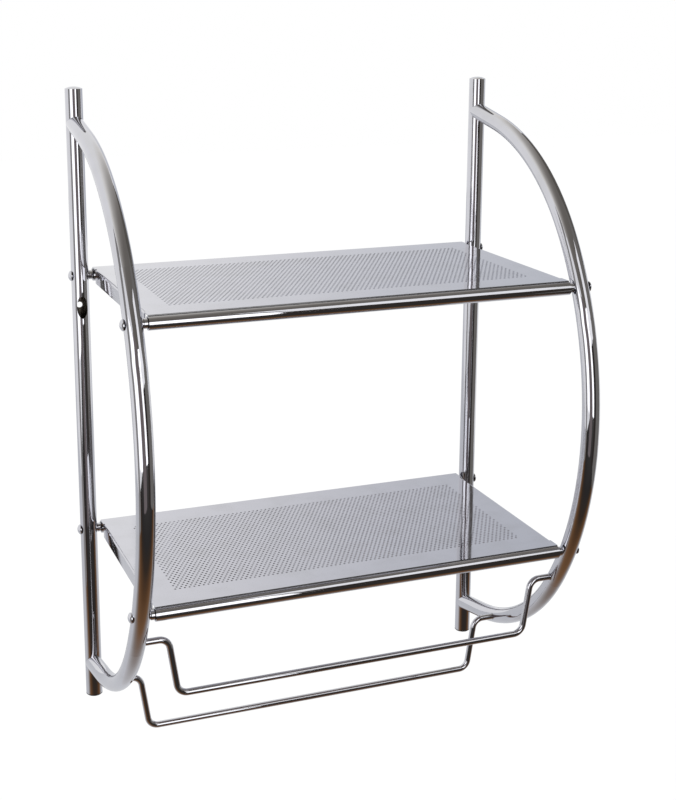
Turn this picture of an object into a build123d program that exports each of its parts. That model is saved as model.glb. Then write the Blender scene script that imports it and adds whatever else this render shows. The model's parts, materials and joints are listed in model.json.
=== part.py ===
from build123d import *
import os
from math import cos, radians, sin, sqrt, tan

# Wall rack of chromed tube: two posts with bowed tubes, two shelves, two swinging towel rails.
# Millimetres. The origin lies on the wall, midway between the two wall screws.
# +X points right, +Z up, and the room is at -Y.

# Posts
post_spacing = 409.0
post_height = 600.0
post_diameter = 16.0
post_wall = 1.2
wall_hole_height = 396.0
wall_hole_diameter = 5.5
access_width = 10.0
access_height = 21.0
cap_rise = 2.5
cap_rim = 0.6
foot_rim = 1.5
spigot_length = 9.0
spigot_play = 0.1

# Bowed tubes: a wide front arc, two tighter shoulder arcs and two straight ends
bow_diameter = 16.0
bow_wall = 1.2
bow_reach = 236.0
bow_front_radius = 295.0
bow_front_half_angle = 34.0
bow_shoulder_radius = 220.0
bow_end_slope = 11.0

# Shelves
shelf_spacing = 251.0
rail_diameter = 12.0
rail_wall = 1.0
sheet_thickness = 1.0
sheet_side_gap = 4.2
sheet_overhang = 1.0
flange_depth = 13.5
flange_rail_gap = 5.6
bend_radius = 2.2

# The sheets' fine perforation as a plain grid of openings with the same open share
perforation_side_margin = 25.0
perforation_back_margin = 29.0
perforation_front_margin = 28.0
perforation_open_share = 0.22
opening_columns = 12
opening_rows = 6

# Shelf fixings
collar_length = 4.0
collar_diameter = 8.6
collar_chamfer = 0.6
screw_diameter = 4.8
screw_play = 0.3
screw_length = 35.0
head_diameter = 9.6
head_height = 3.0
head_rim = 0.8
rail_plug_length = 18.0
rail_plug_play = 0.05
thread_play = 0.1

# Towel rails
rod_diameter = 6.0
rod_play = 0.3
rod_drop = 53.0
rod_bar_length = 337.0
rod_shoulder_length = 353.0
rod_bend_radius = 10.0
rod_end_gap = 3.0
front_rod_below_shelf = 33.0
back_rod_above_bow_end = 18.7

# Places worked out from the sizes above
post_radius = post_diameter / 2
bow_radius = bow_diameter / 2
rail_radius = rail_diameter / 2
rod_radius = rod_diameter / 2
screw_hole_radius = screw_diameter / 2 + screw_play
post_y = -post_radius
foot_z = -wall_hole_height
top_z = foot_z + post_height
middle_z = foot_z + post_height / 2

# The bow's arcs, as distance out from the post's axis and height from the middle
front_angle = radians(bow_front_half_angle)
end_angle = radians(bow_end_slope)
front_centre = bow_reach - bow_front_radius
arc_step = bow_front_radius - bow_shoulder_radius
shoulder_centre = (front_centre + arc_step * cos(front_angle), arc_step * sin(front_angle))
straight_reach = shoulder_centre[0] + bow_shoulder_radius * sin(end_angle)
straight_height = shoulder_centre[1] + bow_shoulder_radius * cos(end_angle)
bow_end_height = straight_height + straight_reach * tan(end_angle)
shoulder_turn = 90.0 - bow_front_half_angle - bow_end_slope


def bow_reach_at(height):
    """Distance from the post's axis to the bow's axis, at a height from the middle."""
    rise = abs(height)
    if rise <= bow_front_radius * sin(front_angle):
        return front_centre + sqrt(bow_front_radius**2 - rise**2)
    if rise <= straight_height:
        return shoulder_centre[0] + sqrt(bow_shoulder_radius**2 - (rise - shoulder_centre[1]) ** 2)
    return (bow_end_height - rise) / tan(end_angle)


shelf_heights = {"upper": shelf_spacing / 2, "lower": -shelf_spacing / 2}
sides = {"left": -1, "right": 1}
front_rail_reach = bow_reach_at(shelf_spacing / 2)
rail_rows = {
    "front": {"y": post_y - front_rail_reach, "tube_radius": bow_radius},
    "back": {"y": post_y, "tube_radius": post_radius},
}
rods = {
    "front_towel_rail": shelf_spacing / 2 + front_rod_below_shelf,
    "back_towel_rail": bow_end_height - back_rod_above_bow_end,
}

os.makedirs("parts", exist_ok=True)


def save(builder, name):
    builder.part.label = name
    export_step(builder.part, f"parts/{name}.step")


# Posts, with the wall-screw hole behind, its access hole in front and the back rails' screw holes
for side, sign in sides.items():
    post_x = sign * post_spacing / 2
    tube_bottom = foot_z + foot_rim
    tube_length = post_height - foot_rim - cap_rise
    with BuildPart() as post:
        with BuildSketch(Plane((post_x, post_y, tube_bottom))):
            Circle(post_radius)
            Circle(post_radius - post_wall, mode=Mode.SUBTRACT)
        extrude(amount=tube_length)
        with BuildSketch(Plane((post_x, post_y, 0), x_dir=(1, 0, 0), z_dir=(0, 1, 0))):
            Circle(wall_hole_diameter / 2)
        extrude(amount=post_radius, mode=Mode.SUBTRACT)
        with BuildSketch(Plane((post_x, post_y, 0), x_dir=(0, 0, 1), z_dir=(0, -1, 0))):
            Ellipse(access_height / 2, access_width / 2)
        extrude(amount=post_radius, mode=Mode.SUBTRACT)
        with Locations(*[(post_x, post_y, middle_z + height) for height in shelf_heights.values()]):
            Cylinder(screw_hole_radius, 2 * post_diameter, rotation=(0, 90, 0), mode=Mode.SUBTRACT)
    save(post, f"{side}_post")

# Domed caps in the post tops and plugs in the feet
for side, sign in sides.items():
    post_axis = Axis((sign * post_spacing / 2, post_y, 0), (0, 0, 1))
    spigot_radius = post_radius - post_wall - spigot_play
    cap_plane = Plane((sign * post_spacing / 2, post_y, top_z - cap_rise), x_dir=(1, 0, 0), z_dir=(0, -1, 0))
    with BuildPart() as cap:
        with BuildSketch(cap_plane):
            with BuildLine():
                Polyline((0, cap_rise), (0, -spigot_length), (spigot_radius, -spigot_length), (spigot_radius, 0),
                         (post_radius, 0), (post_radius, cap_rim))
                TangentArc((0, cap_rise), (post_radius, cap_rim), tangent=(1, 0))
            make_face()
        revolve(axis=post_axis)
    save(cap, f"{side}_post_cap")

    foot_plane = Plane((sign * post_spacing / 2, post_y, foot_z), x_dir=(1, 0, 0), z_dir=(0, -1, 0))
    with BuildPart() as foot_plug:
        with BuildSketch(foot_plane):
            with BuildLine():
                Polyline((0, 0), (post_radius - foot_rim / 2, 0), (post_radius, foot_rim / 2), (post_radius, foot_rim),
                         (spigot_radius, foot_rim), (spigot_radius, foot_rim + spigot_length),
                         (0, foot_rim + spigot_length), close=True)
            make_face()
        revolve(axis=post_axis)
    save(foot_plug, f"{side}_post_foot_plug")

# Bowed tubes, coped on the posts, with screw holes for the front rails and plain holes for the rods
bow_cores = {}
for side, sign in sides.items():
    bow_x = sign * post_spacing / 2
    bow_plane = Plane((bow_x, post_y, middle_z), x_dir=(0, -1, 0), z_dir=(-1, 0, 0))
    with BuildLine(bow_plane) as bow_path:
        upper_end = Line((0, bow_end_height), (straight_reach, straight_height))
        upper_shoulder = JernArc(upper_end @ 1, upper_end % 1, bow_shoulder_radius, -shoulder_turn)
        front = JernArc(upper_shoulder @ 1, upper_shoulder % 1, bow_front_radius, -2 * bow_front_half_angle)
        lower_shoulder = JernArc(front @ 1, front % 1, bow_shoulder_radius, -shoulder_turn)
        Line((straight_reach, -straight_height), (0, -bow_end_height))
    end_plane = Plane(bow_path.line @ 0, z_dir=bow_path.line % 0)

    with BuildPart() as bow_core:
        with BuildSketch(end_plane):
            Circle(bow_radius)
        sweep(path=bow_path.line)
    bow_cores[side] = bow_core.part

    with BuildPart() as bow:
        with BuildSketch(end_plane):
            Circle(bow_radius)
            Circle(bow_radius - bow_wall, mode=Mode.SUBTRACT)
        sweep(path=bow_path.line)
        with Locations((bow_x, post_y, middle_z)):
            Cylinder(post_radius, post_height, mode=Mode.SUBTRACT)
        with Locations(*[(bow_x, rail_rows["front"]["y"], middle_z + height) for height in shelf_heights.values()]):
            Cylinder(screw_hole_radius, 2 * bow_diameter, rotation=(0, 90, 0), mode=Mode.SUBTRACT)
        inner_x = bow_x - sign * bow_radius / 2
        with Locations(*[(inner_x, post_y - bow_reach_at(drop), middle_z - drop) for drop in rods.values()]):
            Cylinder(rod_radius + rod_play, bow_radius, rotation=(0, 90, 0), mode=Mode.SUBTRACT)
    save(bow, f"{side}_bow")

# Shelf sheets lie on their two rails and turn down at the sides between them
sheet_width = post_spacing - 2 * (post_radius + sheet_side_gap)
sheet_depth = front_rail_reach + 2 * sheet_overhang
flange_setback = rail_radius + flange_rail_gap
flange_length = front_rail_reach - 2 * flange_setback
end_depth = flange_setback + sheet_overhang
perforation_width = sheet_width - 2 * perforation_side_margin
perforation_depth = sheet_depth - perforation_back_margin - perforation_front_margin
perforation_middle = -perforation_back_margin - perforation_depth / 2
opening_step = (perforation_width / opening_columns, perforation_depth / opening_rows)
opening_scale = sqrt(perforation_open_share)
for level, height in shelf_heights.items():
    sheet_top = middle_z + height + rail_radius + sheet_thickness
    section = Plane((0, post_y - flange_setback, sheet_top), x_dir=(1, 0, 0), z_dir=(0, -1, 0))
    with BuildPart() as sheet:
        with BuildSketch(section) as profile:
            Rectangle(sheet_width, flange_depth, align=(Align.CENTER, Align.MAX))
            with Locations((0, -sheet_thickness)):
                Rectangle(sheet_width - 2 * sheet_thickness, flange_depth, align=(Align.CENTER, Align.MAX),
                          mode=Mode.SUBTRACT)
            fillet(profile.vertices().group_by(Axis.Y)[-2], bend_radius - sheet_thickness)
            fillet(profile.vertices().group_by(Axis.Y)[-1], bend_radius)
        extrude(amount=flange_length)
        with BuildSketch(Plane((0, post_y + sheet_overhang, sheet_top))):
            with Locations((0, 0), (0, end_depth - sheet_depth)):
                Rectangle(sheet_width, end_depth, align=(Align.CENTER, Align.MAX))
        extrude(amount=-sheet_thickness)
        with BuildSketch(Plane((0, post_y + sheet_overhang, sheet_top))):
            with Locations((0, perforation_middle)):
                with GridLocations(*opening_step, opening_columns, opening_rows):
                    Rectangle(opening_step[0] * opening_scale, opening_step[1] * opening_scale)
        extrude(amount=-sheet_thickness, mode=Mode.SUBTRACT)
    save(sheet, f"{level}_shelf_sheet")

# Patterns of the small fixings along +X: the screw from its seat, the others from the rail's end
with BuildPart() as screw:
    with BuildSketch(Plane.XZ):
        with BuildLine():
            Polyline((head_height, 0), (-screw_length, 0), (-screw_length, screw_diameter / 2),
                     (0, screw_diameter / 2), (0, head_diameter / 2), (head_rim, head_diameter / 2))
            TangentArc((head_height, 0), (head_rim, head_diameter / 2), tangent=(0, 1))
        make_face()
    revolve(axis=Axis.X)

# The collar's neck runs on into the tube, where it is coped to fit
collar_radius = collar_diameter / 2
neck_radius = collar_radius - collar_chamfer
neck_end = collar_length + post_radius / 2
with BuildPart() as collar_ring:
    with BuildSketch(Plane.XZ):
        with BuildLine():
            Polyline((0, screw_hole_radius), (0, neck_radius), (collar_chamfer, collar_radius),
                     (collar_length - collar_chamfer, collar_radius), (collar_length, neck_radius),
                     (neck_end, neck_radius), (neck_end, screw_hole_radius), close=True)
        make_face()
    revolve(axis=Axis.X)

with BuildPart() as rail_plug:
    with BuildSketch(Plane.YZ):
        Circle(rail_radius - rail_wall - rail_plug_play)
        Circle(screw_diameter / 2 + thread_play, mode=Mode.SUBTRACT)
    extrude(amount=-rail_plug_length)

# Shelf rails with their end plugs and the collars between rail and tube
screw_places = []
for level, height in shelf_heights.items():
    for row, place in rail_rows.items():
        axis_z = middle_z + height
        rail_end = post_spacing / 2 - place["tube_radius"] - collar_length
        with BuildPart() as rail:
            with BuildSketch(Plane((-rail_end, place["y"], axis_z), z_dir=(1, 0, 0))):
                Circle(rail_radius)
                Circle(rail_radius - rail_wall, mode=Mode.SUBTRACT)
            extrude(amount=2 * rail_end)
        save(rail, f"{level}_{row}_rail")

        for side, sign in sides.items():
            outward = (0, 0, 0 if sign > 0 else 180)
            end_place = Location((sign * rail_end, place["y"], axis_z), outward)
            screw_places.append(Location((sign * (post_spacing / 2 + place["tube_radius"]), place["y"], axis_z), outward))

            with BuildPart() as end_plug:
                with Locations(end_place):
                    add(rail_plug.part)
            save(end_plug, f"{level}_{row}_{side}_rail_plug")

            with BuildPart() as collar:
                with Locations(end_place):
                    add(collar_ring.part)
                if row == "front":
                    add(bow_cores[side], mode=Mode.SUBTRACT)
                else:
                    with Locations((sign * post_spacing / 2, post_y, axis_z)):
                        Cylinder(post_radius, 2 * rail_diameter, mode=Mode.SUBTRACT)
            save(collar, f"{level}_{row}_{side}_collar")

with BuildPart() as screws:
    with Locations(*screw_places):
        add(screw.part)
save(screws, "shelf_screws")

# Towel rails: bent rods that hang from their ends in the bows
rod_end = post_spacing / 2 + bow_radius - bow_wall - rod_end_gap
for name, below_middle in rods.items():
    swing_plane = Plane((0, post_y - bow_reach_at(below_middle), middle_z - below_middle), x_dir=(1, 0, 0),
                        z_dir=(0, -1, 0))
    with BuildLine(swing_plane) as rod_path:
        FilletPolyline((-rod_end, 0), (-rod_shoulder_length / 2, 0), (-rod_bar_length / 2, -rod_drop),
                       (rod_bar_length / 2, -rod_drop), (rod_shoulder_length / 2, 0), (rod_end, 0),
                       radius=rod_bend_radius)
    with BuildPart() as rod:
        with BuildSketch(Plane(rod_path.line @ 0, z_dir=rod_path.line % 0)):
            Circle(rod_radius)
        sweep(path=rod_path.line)
    save(rod, name)
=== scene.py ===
import json
import math

import bmesh
import bpy
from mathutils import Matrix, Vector


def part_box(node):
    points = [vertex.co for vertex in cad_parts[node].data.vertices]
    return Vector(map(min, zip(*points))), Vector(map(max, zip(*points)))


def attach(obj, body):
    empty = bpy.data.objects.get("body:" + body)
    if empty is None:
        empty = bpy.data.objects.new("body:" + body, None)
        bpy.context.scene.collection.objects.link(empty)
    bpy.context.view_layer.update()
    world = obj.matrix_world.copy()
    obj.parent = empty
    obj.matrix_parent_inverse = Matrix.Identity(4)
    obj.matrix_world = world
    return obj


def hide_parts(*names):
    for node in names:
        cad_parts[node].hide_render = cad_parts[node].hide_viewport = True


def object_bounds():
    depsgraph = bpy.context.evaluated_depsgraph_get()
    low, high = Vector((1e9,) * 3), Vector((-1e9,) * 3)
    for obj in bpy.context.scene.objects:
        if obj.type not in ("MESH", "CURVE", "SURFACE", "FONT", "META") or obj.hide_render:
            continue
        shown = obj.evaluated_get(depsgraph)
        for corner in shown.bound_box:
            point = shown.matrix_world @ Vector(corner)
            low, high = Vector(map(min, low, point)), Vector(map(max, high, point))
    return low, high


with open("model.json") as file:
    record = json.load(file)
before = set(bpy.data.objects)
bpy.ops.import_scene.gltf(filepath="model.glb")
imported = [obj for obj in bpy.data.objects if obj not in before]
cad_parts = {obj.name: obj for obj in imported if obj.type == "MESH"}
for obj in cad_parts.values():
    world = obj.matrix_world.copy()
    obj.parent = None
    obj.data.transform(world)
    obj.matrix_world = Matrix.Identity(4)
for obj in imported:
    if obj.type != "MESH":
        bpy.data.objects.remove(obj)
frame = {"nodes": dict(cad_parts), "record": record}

cad_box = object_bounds()
nodes = frame["nodes"]

# Shelf sheets, in metres, in the frame's own axes: +X right, +Y into the wall, +Z up
mm = 0.001
sheet_thickness = 1.0 * mm
sheet_bend_radius = 2.2 * mm
sheet_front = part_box("upper_shelf_sheet")[0].y
edge_band_depth = 0.05 * mm
side_rail_gap = 5.6 * mm
hole_pitch = 4.25 * mm
hole_diameter = 2.0 * mm
hole_columns = 79
hole_rows = 42
perforation_back_margin = 30.0 * mm
# Staggered rows lie this share of the pitch apart
row_share = math.sqrt(3.0) / 2.0

# Posts: their bore is what lies within bore_reach of the axis, below the rim of the top end; the bore is
# painted dark as painted shade
post_low, post_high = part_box("right_post")
post_x = (post_low.x + post_high.x) / 2
post_y = (post_low.y + post_high.y) / 2
post_rim = 1.5 * mm
bore_reach = 7.3 * mm
access_rim = 6.0 * mm
access_dent = 0.6 * mm

# Fineness of the meshes
bend_steps = 8
hole_sides = 8
cell_sides = 6
weld_distance = 0.001 * mm
sharp_angle = math.radians(30.0)

# Finishes: a scale is the number of features per metre, and dullness is added roughness
smudge_scale = 38.0
smudge_detail = 4.0
smudge_start = 0.45
smudge_full = 0.75
ripple_detail = 1.0
bore_dullness = 0.4
edge_dullness = 0.3
plug_roughness = 0.45
plug_specular = 0.4
grain_scale = 900.0
grain_detail = 2.0
grain_dullness = 0.2

# Colours of the finishes, linear
chrome_white = (0.62, 0.62, 0.66)
chrome_smudged = (0.58, 0.58, 0.61)
# Painted shade inside the posts' bore, a dark brown-grey
bore_painted_shade = (0.2, 0.18, 0.15)
# Painted shade on the sheets' front edge face, a mid grey
edge_painted_shade = (0.3, 0.3, 0.31)
plug_black = (0.012, 0.012, 0.013)

# Colours of the studio, linear
studio_white = (1.0, 1.0, 1.0)
floor_white = (0.9, 0.9, 0.9)
left_shade = (0.3, 0.29, 0.28)
right_shade = (0.2, 0.19, 0.175)
high_shade = (0.13, 0.12, 0.105)
camera_shade = (0.2, 0.17, 0.17)
low_shade = (0.04, 0.034, 0.03)
rear_shade = (0.7, 0.71, 0.735)
# Stops along a paper's length, from its front edge to its back edge
ground_stops = (
    (0.0, (0.12, 0.115, 0.11)),
    (0.5, (0.07, 0.066, 0.062)),
    (0.775, (0.035, 0.032, 0.03)),
    (0.82, (0.05, 0.035, 0.025)),
    (0.86, (0.13, 0.065, 0.03)),
    (0.9, (0.22, 0.115, 0.055)),
    (0.93, (0.3, 0.25, 0.22)),
    (0.96, (0.5, 0.48, 0.47)),
    (1.0, (0.7, 0.7, 0.72)),
)
ceiling_stops = (
    (0.0, (0.13, 0.12, 0.105)),
    (0.5, (0.2, 0.185, 0.165)),
    (0.57, (0.28, 0.26, 0.235)),
    (0.67, (0.52, 0.5, 0.46)),
    (0.77, (0.9, 0.88, 0.83)),
    (0.85, (1.0, 1.0, 0.98)),
)
# Stops across the paper behind the rack, from its left edge to its right edge
back_stops = (
    (0.0, (0.95, 0.95, 0.96)),
    (0.12, (0.86, 0.86, 0.88)),
    (0.3, (0.71, 0.72, 0.76)),
    (0.45, (0.62, 0.64, 0.69)),
    (1.0, (0.6, 0.62, 0.67)),
)

# Studio, in metres: the papers on the ground meet at ground_back
floor_reach = 12.0
floor_drop = 0.9
floor_roughness = 0.9
floor_glow = 0.12
ground_height = -0.8
ground_back = 0.2
ground_width = 4.0
ground_length = 5.2
rear_ground_length = 6.0
ceiling_height = 1.25
ceiling_middle = -0.8
ceiling_width = 2.4
ceiling_length = 5.2
ceiling_slant = -0.15
back_paper_width = 2.4
softbox_strength = 2.0
outer_softbox_strength = 1.2
# The cards stand round this place, and their bearings count from the camera's side of it
rack_middle = Vector((0.0, -0.1, 0.0))
camera_side = math.radians(-20.8)
key_place = Vector((-1.5, -2.5, 2.5))
key_size = 1.5
key_watts = 12.0

# Camera: the frame is 676 by 800 pixels, and the sensor's width lies along its longer side
frame_pixels = 800.0
focal_pixels = 1388.3
shift_right_pixels = 40.0
shift_up_pixels = -100.0
sensor_width = 36.0
camera_place = Vector((-0.45325, -1.26835, 0.2893))
camera_yaw = 0.35383
camera_pitch = -0.21987

# Where a Mix node has its colours, and a Compare node its whole numbers
mix_first, mix_second, mix_result = 6, 7, 2
compare_first, compare_second = 2, 3


class Value:
    """A socket of a node tree. Arithmetic on it adds Math nodes to the tree."""

    def __init__(self, graph, socket):
        self.graph = graph
        self.socket = socket

    def _math(self, operation, *terms):
        made = self.graph.node("ShaderNodeMath", {"operation": operation}, dict(enumerate(terms)))
        return made.out(0)

    def __add__(self, other):
        return self._math("ADD", self, other)

    def __radd__(self, other):
        return self._math("ADD", other, self)

    def __sub__(self, other):
        return self._math("SUBTRACT", self, other)

    def __rsub__(self, other):
        return self._math("SUBTRACT", other, self)

    def __mul__(self, other):
        return self._math("MULTIPLY", self, other)

    def __rmul__(self, other):
        return self._math("MULTIPLY", other, self)

    def __truediv__(self, other):
        return self._math("DIVIDE", self, other)

    def __rtruediv__(self, other):
        return self._math("DIVIDE", other, self)

    def __mod__(self, other):
        return self._math("MODULO", self, other)

    def __rmod__(self, other):
        return self._math("MODULO", other, self)

    def __lt__(self, other):
        return self._math("LESS_THAN", self, other)

    def __gt__(self, other):
        return self._math("GREATER_THAN", self, other)

    def __abs__(self):
        return self._math("ABSOLUTE", self)

    def exponent(self):
        return self._math("EXPONENT", self)


class Made:
    """A node that has just been added, whose outputs can be used as values."""

    def __init__(self, graph, node):
        self.graph = graph
        self.node = node

    def out(self, key):
        return Value(self.graph, self.node.outputs[key])


class Graph:
    """A node tree with one way to add a node: its type, its settings, then its sockets."""

    def __init__(self, tree):
        self.tree = tree

    def node(self, kind, settings=None, sockets=None):
        node = self.tree.nodes.new(kind)
        for name, value in (settings or {}).items():
            if name == "stops":
                self._set_stops(node.color_ramp.elements, value)
            else:
                setattr(node, name, value)
        for key, value in (sockets or {}).items():
            if isinstance(value, Value):
                self.tree.links.new(value.socket, node.inputs[key])
            elif isinstance(value, list):
                for part in value:
                    self.tree.links.new(part.socket, node.inputs[key])
            else:
                node.inputs[key].default_value = value
        return Made(self, node)

    def _set_stops(self, ramp, stops):
        ramp[0].position = stops[0][0]
        ramp[-1].position = stops[-1][0]
        for place, _ in stops[1:-1]:
            ramp.new(place)
        for element, (_, colour) in zip(ramp, stops):
            element.color = opaque(colour)


def opaque(colour):
    return (*colour, 1.0)


def new_material(name):
    material = bpy.data.materials.new(name)
    material.use_nodes = True
    material.node_tree.nodes.clear()
    return material, Graph(material.node_tree)


def surface(graph, shader, sockets):
    """Adds the shader that a material shows."""
    made = graph.node(shader, {}, sockets)
    graph.node("ShaderNodeOutputMaterial", {}, {"Surface": made.out(0)})


def own_axes(graph):
    """The X, Y and Z of a place on the piece, in its own coordinates."""
    place = graph.node("ShaderNodeTexCoord").out("Object")
    parts = graph.node("ShaderNodeSeparateXYZ", {}, {"Vector": place})
    return parts.out("X"), parts.out("Y"), parts.out("Z")


def noise(graph, scale, detail):
    """A pattern from 0 to 1 in the piece's own coordinates, with features about 1/scale metres wide."""
    place = graph.node("ShaderNodeTexCoord").out("Object")
    sockets = {"Vector": place, "Scale": scale, "Detail": detail}
    return graph.node("ShaderNodeTexNoise", {}, sockets).out("Fac")


def mixed(graph, factor, first, second):
    """One colour where the factor is 0 and the other where it is 1."""
    sockets = {"Factor": factor, mix_first: first, mix_second: second}
    return graph.node("ShaderNodeMix", {"data_type": "RGBA"}, sockets).out(mix_result)


def post_places(graph):
    """The bore of the two posts, and the pressed rim of their access holes, which lie at height 0."""
    across, depth, height = own_axes(graph)
    aside = abs(across) - post_x
    deep = depth - post_y
    bore = (aside * aside + deep * deep < bore_reach**2) * (height < post_high.z - post_rim)
    spread = (aside * aside + height * height) / (-2.0 * access_rim**2)
    return bore, spread.exponent() * (deep < 0.0)


def front_edge(graph):
    """The front edge face of the shelf sheets, where painted shade goes, as 1 on it and 0 elsewhere."""
    _, depth, _ = own_axes(graph)
    return depth < sheet_front + edge_band_depth


def chrome(name, roughness, smudge, ripple_scale, ripple_depth, posts=False, sheets=False):
    """Bright plating: faint finger smudges dull it in places, and the metal under it is not quite even. With
    posts, the bore is painted dark brown-grey as painted shade; with sheets, the front edge face is painted
    grey as painted shade.
    """
    material, graph = new_material(name)
    marks = noise(graph, smudge_scale, smudge_detail)
    limits = {"Value": marks, "From Min": smudge_start, "From Max": smudge_full}
    smudged = graph.node("ShaderNodeMapRange", {}, limits).out("Result")
    tint = mixed(graph, smudged, opaque(chrome_white), opaque(chrome_smudged))
    rough = roughness + smudged * smudge
    height = noise(graph, ripple_scale, ripple_detail) * ripple_depth
    if posts:
        bore, rim = post_places(graph)
        # Painted shade: the bore of the posts is coloured dark brown-grey, and made duller
        tint = mixed(graph, bore, tint, opaque(bore_painted_shade))
        rough = rough + bore * bore_dullness
        height = height - rim * access_dent
    if sheets:
        shaded_edge = front_edge(graph)
        # Painted shade: the sheets' front edge face is coloured grey, and made duller
        tint = mixed(graph, shaded_edge, tint, opaque(edge_painted_shade))
        rough = rough + shaded_edge * edge_dullness
    bump = graph.node("ShaderNodeBump", {}, {"Height": height, "Distance": 1.0, "Strength": 1.0})
    surface(
        graph,
        "ShaderNodeBsdfPrincipled",
        {"Base Color": tint, "Metallic": 1.0, "Roughness": rough, "Normal": bump.out("Normal")},
    )
    return material


def moulded_plastic(name):
    """Black plug plastic with a fine moulded grain."""
    material, graph = new_material(name)
    rough = plug_roughness + noise(graph, grain_scale, grain_detail) * grain_dullness
    surface(
        graph,
        "ShaderNodeBsdfPrincipled",
        {"Base Color": opaque(plug_black), "Roughness": rough, "Specular IOR Level": plug_specular},
    )
    return material


finishes = {
    "tube_chrome": chrome(
        "tube_chrome", roughness=0.035, smudge=0.05, ripple_scale=9.0, ripple_depth=0.4 * mm, posts=True
    ),
    "sheet_chrome": chrome(
        "sheet_chrome", roughness=0.05, smudge=0.05, ripple_scale=16.0, ripple_depth=0.3 * mm, sheets=True
    ),
    "fitting_chrome": chrome(
        "fitting_chrome", roughness=0.04, smudge=0.05, ripple_scale=30.0, ripple_depth=0.1 * mm
    ),
    "rod_chrome": chrome(
        "rod_chrome", roughness=0.05, smudge=0.06, ripple_scale=12.0, ripple_depth=0.2 * mm
    ),
    "plug_plastic": moulded_plastic("plug_plastic"),
}
for subpart in frame["record"]["subparts"]:
    piece = nodes[subpart["node"]]
    piece.data.materials.clear()
    piece.data.materials.append(finishes[subpart["material_slot"]])


def perforated_panel_tree():
    """A flat sheet with staggered round holes: six-sided cells with a hole each, in a plain margin."""
    tree = bpy.data.node_groups.new("perforated_panel", "GeometryNodeTree")
    for name, kind in (
        ("Outline", "Geometry"),
        ("Hole pitch", "Float"),
        ("Hole diameter", "Float"),
        ("Hole sides", "Int"),
        ("Columns", "Int"),
        ("Rows", "Int"),
        ("Field centre", "Vector"),
        ("Thickness", "Float"),
        ("Finish", "Material"),
    ):
        tree.interface.new_socket(name, in_out="INPUT", socket_type="NodeSocket" + kind)
    tree.interface.new_socket("Panel", in_out="OUTPUT", socket_type="NodeSocketGeometry")

    graph = Graph(tree)
    given = graph.node("NodeGroupInput")
    pitch = given.out("Hole pitch")
    columns = given.out("Columns")
    rows = given.out("Rows")
    row_step = pitch * row_share

    def joined(*parts):
        return graph.node("GeometryNodeJoinGeometry", {}, {"Geometry": list(parts)}).out("Geometry")

    def merged(geometry):
        sockets = {"Geometry": geometry, "Distance": weld_distance}
        return graph.node("GeometryNodeMergeByDistance", {}, sockets).out("Geometry")

    def realized(geometry):
        return graph.node("GeometryNodeRealizeInstances", {}, {"Geometry": geometry}).out("Geometry")

    def filled(curve):
        return graph.node("GeometryNodeFillCurve", {}, {"Curve": curve}).out("Mesh")

    def circle(sides, radius):
        sockets = {"Resolution": sides, "Radius": radius}
        return graph.node("GeometryNodeCurvePrimitiveCircle", {}, sockets).out("Curve")

    def at_centres(face):
        sockets = {"Points": centres, "Instance": face}
        return realized(graph.node("GeometryNodeInstanceOnPoints", {}, sockets).out("Instances"))

    # The holes' centres: a grid whose every other row is set over by half a pitch
    grid = graph.node(
        "GeometryNodeMeshGrid",
        {},
        {
            "Size X": (columns - 1) * pitch,
            "Size Y": (rows - 1) * row_step,
            "Vertices X": columns,
            "Vertices Y": rows,
        },
    ).out("Mesh")
    row = graph.node("GeometryNodeInputIndex").out("Index") % rows
    stagger = (row % 2 - 0.5) * pitch / 2
    shift = graph.node("ShaderNodeCombineXYZ", {}, {"X": stagger}).out("Vector")
    spot = graph.node(
        "ShaderNodeVectorMath", {"operation": "ADD"}, {0: shift, 1: given.out("Field centre")}
    ).out("Vector")
    centres = graph.node("GeometryNodeSetPosition", {}, {"Geometry": grid, "Offset": spot}).out("Geometry")

    # The cells without their holes give the field's edge, which bounds the margin
    cell_edge = graph.node(
        "GeometryNodeTransform",
        {},
        {"Geometry": circle(cell_sides, pitch / math.sqrt(3.0)), "Rotation": (0.0, 0.0, math.pi / 2)},
    ).out("Geometry")
    hole_edge = circle(given.out("Hole sides"), given.out("Hole diameter") / 2)
    field = merged(at_centres(filled(cell_edge)))
    neighbours = graph.node("GeometryNodeInputMeshEdgeNeighbors").out("Face Count")
    rim = graph.node(
        "FunctionNodeCompare",
        {"data_type": "INT", "operation": "EQUAL"},
        {compare_first: neighbours, compare_second: 1},
    ).out("Result")
    field_edge = graph.node("GeometryNodeMeshToCurve", {}, {"Mesh": field, "Selection": rim}).out("Curve")
    sheet_edge = graph.node("GeometryNodeMeshToCurve", {}, {"Mesh": given.out("Outline")}).out("Curve")
    margin = filled(joined(sheet_edge, field_edge))
    face = merged(joined(margin, at_centres(filled(joined(cell_edge, hole_edge)))))

    # The thickness: the face is raised, and its underside is closed
    upward = graph.node("ShaderNodeCombineXYZ", {}, {"Z": 1.0}).out("Vector")
    raised = graph.node(
        "GeometryNodeExtrudeMesh",
        {},
        {"Mesh": face, "Offset": upward, "Offset Scale": given.out("Thickness"), "Individual": False},
    ).out("Mesh")
    under = graph.node("GeometryNodeFlipFaces", {}, {"Mesh": face}).out("Mesh")
    closed = realized(merged(joined(raised, under)))
    dressed = graph.node(
        "GeometryNodeSetMaterial", {}, {"Geometry": closed, "Material": given.out("Finish")}
    ).out("Geometry")
    graph.node("NodeGroupOutput", {}, {"Panel": dressed})
    return tree


def grown(piece, tree, inputs):
    """Runs a tree on a piece and returns the result as a plain mesh."""
    modifier = piece.modifiers.new("grow", "NODES")
    modifier.node_group = tree
    sockets = tree.interface.items_tree
    identifiers = {socket.name: socket.identifier for socket in sockets if socket.in_out == "INPUT"}
    for name, value in inputs.items():
        modifier[identifiers[name]] = value
    depsgraph = bpy.context.evaluated_depsgraph_get()
    mesh = bpy.data.meshes.new_from_object(piece.evaluated_get(depsgraph))
    piece.modifiers.clear()
    return mesh


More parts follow.
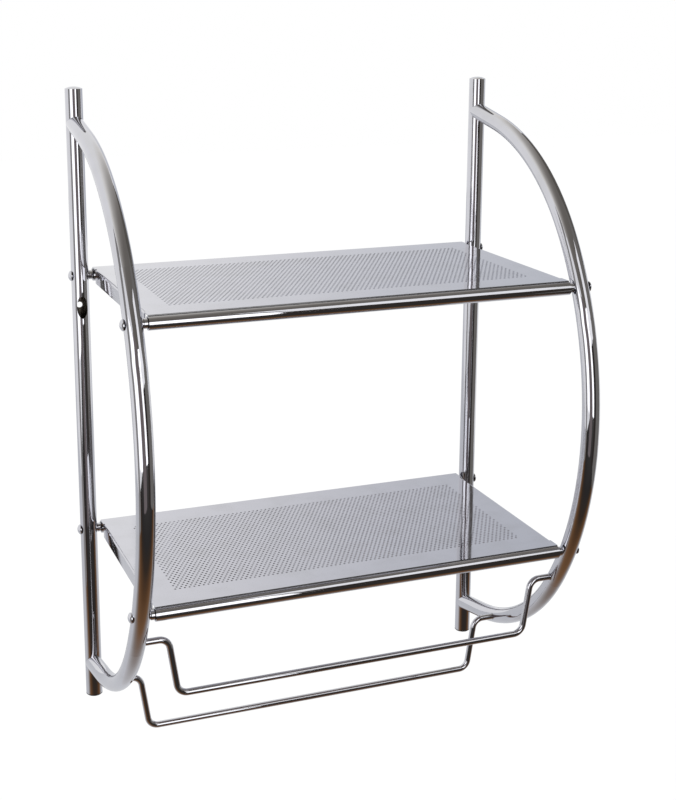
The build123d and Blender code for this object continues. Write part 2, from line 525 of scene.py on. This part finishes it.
def sheet_blank(low, high, side_back, side_front):
    """The outline of a sheet's flat part, which is narrower between its corners, where the sides bend."""
    flat_half = high.x - sheet_bend_radius
    right = [
        (high.x, low.y),
        (high.x, side_front),
        (flat_half, side_front),
        (flat_half, side_back),
        (high.x, side_back),
        (high.x, high.y),
    ]
    left = [(-x, y) for x, y in reversed(right)]
    corners = [(x, y, 0.0) for x, y in left + right]
    edges = [(i, (i + 1) % len(corners)) for i in range(len(corners))]
    outline = bpy.data.meshes.new("outline")
    outline.from_pydata(corners, edges, [])
    blank = bpy.data.objects.new("sheet_blank", outline)
    bpy.context.scene.collection.objects.link(blank)
    return blank


def bend_point(radius, turn):
    """A point of a bend, as how far it lies inwards from the sheet's side and down from its top."""
    return sheet_bend_radius - radius * math.cos(turn), sheet_bend_radius - radius * math.sin(turn)


def bent_side(edge_x, inner_sign, top, bottom, back, front):
    """The turned-down side of a sheet: a rounded bend and a flat leg, closed all round."""
    turns = [math.pi / 2 * step / bend_steps for step in range(bend_steps + 1)]
    section = [bend_point(sheet_bend_radius, turn) for turn in reversed(turns)]
    section += [(0.0, top - bottom), (sheet_thickness, top - bottom)]
    section += [bend_point(sheet_bend_radius - sheet_thickness, turn) for turn in turns]
    side = bmesh.new()
    rings = []
    for y in (back, front):
        places = [(edge_x + inner_sign * inwards, y, top - down) for inwards, down in section]
        rings.append([side.verts.new(place) for place in places])
    back_ring, front_ring = rings
    for i in range(len(section)):
        after = (i + 1) % len(section)
        side.faces.new((back_ring[i], back_ring[after], front_ring[after], front_ring[i]))
    for ring in rings:
        side.faces.new(ring)
    bmesh.ops.recalc_face_normals(side, faces=side.faces)
    for face in side.faces:
        face.smooth = len(face.verts) == 4
    mesh = bpy.data.meshes.new("side")
    side.to_mesh(mesh)
    side.free()
    return mesh


def shelf_sheet(level, tree):
    """A perforated shelf sheet with its two bent sides, in place of the plain CAD sheet."""
    node = f"{level}_shelf_sheet"
    low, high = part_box(node)
    side_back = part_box(f"{level}_back_rail")[0].y - side_rail_gap
    side_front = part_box(f"{level}_front_rail")[1].y + side_rail_gap
    field_depth = (hole_rows - 1) * hole_pitch * row_share
    blank = sheet_blank(low, high, side_back, side_front)
    panel = grown(
        blank,
        tree,
        {
            "Hole pitch": hole_pitch,
            "Hole diameter": hole_diameter,
            "Hole sides": hole_sides,
            "Columns": hole_columns,
            "Rows": hole_rows,
            "Field centre": (0.0, high.y - perforation_back_margin - field_depth / 2, 0.0),
            "Thickness": sheet_thickness,
            "Finish": finishes["sheet_chrome"],
        },
    )
    bpy.data.objects.remove(blank)
    whole = bmesh.new()
    whole.from_mesh(panel)
    bmesh.ops.translate(whole, vec=(0.0, 0.0, high.z - sheet_thickness), verts=whole.verts)
    for edge_x, inner_sign in ((low.x, 1.0), (high.x, -1.0)):
        whole.from_mesh(bent_side(edge_x, inner_sign, high.z, low.z, side_back, side_front))
    for face in whole.faces:
        face.material_index = 0
    whole.to_mesh(panel)
    whole.free()
    panel.materials.clear()
    panel.materials.append(finishes["sheet_chrome"])
    panel.set_sharp_from_angle(angle=sharp_angle)
    piece = bpy.data.objects.new(f"{level}_perforated_sheet", panel)
    bpy.context.scene.collection.objects.link(piece)
    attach(piece, "frame")
    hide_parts(node)


perforated_tree = perforated_panel_tree()
for level in ("upper", "lower"):
    shelf_sheet(level, perforated_tree)


def floor_paint(name):
    """Matt white paint with a faint glow of its own."""
    material, graph = new_material(name)
    surface(
        graph,
        "ShaderNodeBsdfPrincipled",
        {
            "Base Color": opaque(floor_white),
            "Roughness": floor_roughness,
            "Specular IOR Level": 0.0,
            "Emission Color": opaque(floor_white),
            "Emission Strength": floor_glow,
        },
    )
    return material


def plain_paper(name, colour, strength=1.0):
    """Studio paper of one colour, which glows evenly and so shows no shadow."""
    material, graph = new_material(name)
    surface(graph, "ShaderNodeEmission", {"Color": opaque(colour), "Strength": strength})
    return material


def fading_paper(name, stops, across, along):
    """Studio paper that changes colour: across and along are the shares of the ramp that pass per metre."""
    material, graph = new_material(name)
    x, y, _ = own_axes(graph)
    # The ramp's middle lies at the paper's middle
    step = x * across + y * along + 0.5
    tint = graph.node("ShaderNodeValToRGB", {"stops": stops}, {"Fac": step}).out("Color")
    surface(graph, "ShaderNodeEmission", {"Color": tint, "Strength": 1.0})
    return material


def stage_sheet(name, material, place, width, length, turn=(0.0, 0.0, 0.0)):
    """A flat rectangle for the studio. Its face looks along its own +Z before it is turned."""
    x, y = width / 2, length / 2
    mesh = bpy.data.meshes.new(name)
    mesh.from_pydata([(-x, -y, 0.0), (x, -y, 0.0), (x, y, 0.0), (-x, y, 0.0)], [], [(0, 1, 2, 3)])
    mesh.materials.append(material)
    made = bpy.data.objects.new(name, mesh)
    made.location = place
    made.rotation_euler = turn
    bpy.context.scene.collection.objects.link(made)
    return made


def card(name, material, place, width, length, turn=(0.0, 0.0, 0.0)):
    """A studio card that only reflections see."""
    made = stage_sheet(name, material, place, width, length, turn)
    made.visible_camera = False
    made.visible_diffuse = False
    made.visible_shadow = False


def standing(name, material, bearing, distance, width, bottom, top):
    """A card that stands round the rack at a bearing from the camera's side, in degrees to the right."""
    angle = camera_side + math.radians(bearing)
    away = Vector((math.sin(angle), -math.cos(angle), 0.0)) * distance
    place = rack_middle + away + Vector((0.0, 0.0, (bottom + top) / 2))
    card(name, material, place, width, top - bottom, (math.pi / 2, 0.0, angle))


# Floor, and the cards that the chrome reflects
floor_place = (0.0, 0.0, cad_box[0].z - floor_drop)
stage_sheet("floor", floor_paint("floor_white"), floor_place, 2 * floor_reach, 2 * floor_reach)

left_grey = plain_paper("left_grey", left_shade)
right_grey = plain_paper("right_grey", right_shade)
high_grey = plain_paper("high_grey", high_shade)
camera_grey = plain_paper("camera_grey", camera_shade)
low_black = plain_paper("low_black", low_shade)
rear_grey = plain_paper("rear_grey", rear_shade)
softbox = plain_paper("softbox_white", studio_white, softbox_strength)
outer_softbox = plain_paper("outer_white", studio_white, outer_softbox_strength)
ground_paper = fading_paper("ground_paper", ground_stops, 0.0, 1 / ground_length)
ceiling_paper = fading_paper("ceiling_paper", ceiling_stops, ceiling_slant, 1 / ceiling_length)
back_paper = fading_paper("back_paper", back_stops, -1 / back_paper_width, 0.0)

ground_place = (0.0, ground_back - ground_length / 2, ground_height)
rear_ground_place = (0.0, ground_back + rear_ground_length / 2, ground_height)
ceiling_place = (0.0, ceiling_middle, ceiling_height)
card("ground", ground_paper, ground_place, ground_width, ground_length)
card("rear_ground", rear_grey, rear_ground_place, ground_width, rear_ground_length)
card("ceiling", ceiling_paper, ceiling_place, ceiling_width, ceiling_length)
standing("right_inner_softbox", softbox, bearing=26.5, distance=1.35, width=0.4, bottom=-0.34, top=0.58)
standing("right_outer_softbox", outer_softbox, bearing=51.0, distance=1.3, width=0.66, bottom=0.27, top=1.2)
standing("right_low_shade", low_black, bearing=46.0, distance=1.4, width=0.6, bottom=ground_height, top=0.27)
standing("left_softbox", softbox, bearing=-32.0, distance=1.35, width=0.66, bottom=-0.38, top=0.58)
standing("camera_shade", camera_grey, bearing=0.0, distance=1.45, width=0.8, bottom=ground_height, top=0.75)
standing("right_shade", right_grey, bearing=84.0, distance=1.3, width=1.55, bottom=ground_height, top=2.2)
standing("left_shade", left_grey, bearing=-60.0, distance=1.37, width=0.46, bottom=ground_height, top=1.3)
standing("right_high_shade", high_grey, bearing=124.0, distance=1.3, width=1.3, bottom=0.2, top=1.5)
standing("back_paper", back_paper, bearing=160.0, distance=1.9, width=back_paper_width, bottom=-0.3, top=1.0)

# White surroundings, and one soft lamp that no reflection shows
world = bpy.data.worlds.new("studio")
bpy.context.scene.world = world
world.use_nodes = True
world.node_tree.nodes.clear()
sky = Graph(world.node_tree)
backdrop = sky.node("ShaderNodeBackground", {}, {"Color": opaque(studio_white), "Strength": 1.0})
sky.node("ShaderNodeOutputWorld", {}, {"Surface": backdrop.out("Background")})

key_data = bpy.data.lights.new("key", "AREA")
key_data.size = key_size
key_data.energy = key_watts
key = bpy.data.objects.new("key", key_data)
key.location = key_place
key.rotation_euler = (rack_middle - key_place).to_track_quat("-Z", "Y").to_euler()
key.visible_camera = False
key.visible_glossy = False
bpy.context.scene.collection.objects.link(key)

# Camera
camera_data = bpy.data.cameras.new("camera")
camera = bpy.data.objects.new("camera", camera_data)
bpy.context.scene.collection.objects.link(camera)
bpy.context.scene.camera = camera
camera_data.sensor_fit = "AUTO"
camera_data.sensor_width = sensor_width
camera_data.lens = sensor_width * focal_pixels / frame_pixels
camera_data.shift_x = shift_right_pixels / frame_pixels
camera_data.shift_y = shift_up_pixels / frame_pixels
camera.location = camera_place
camera.rotation_mode = "QUATERNION"
ahead = Vector((math.sin(camera_yaw), math.cos(camera_yaw), 0.0)) * math.cos(camera_pitch)
look = ahead + Vector((0.0, 0.0, math.sin(camera_pitch)))
camera.rotation_quaternion = look.to_track_quat("-Z", "Y")
bpy.context.scene.view_settings.view_transform = "Standard"
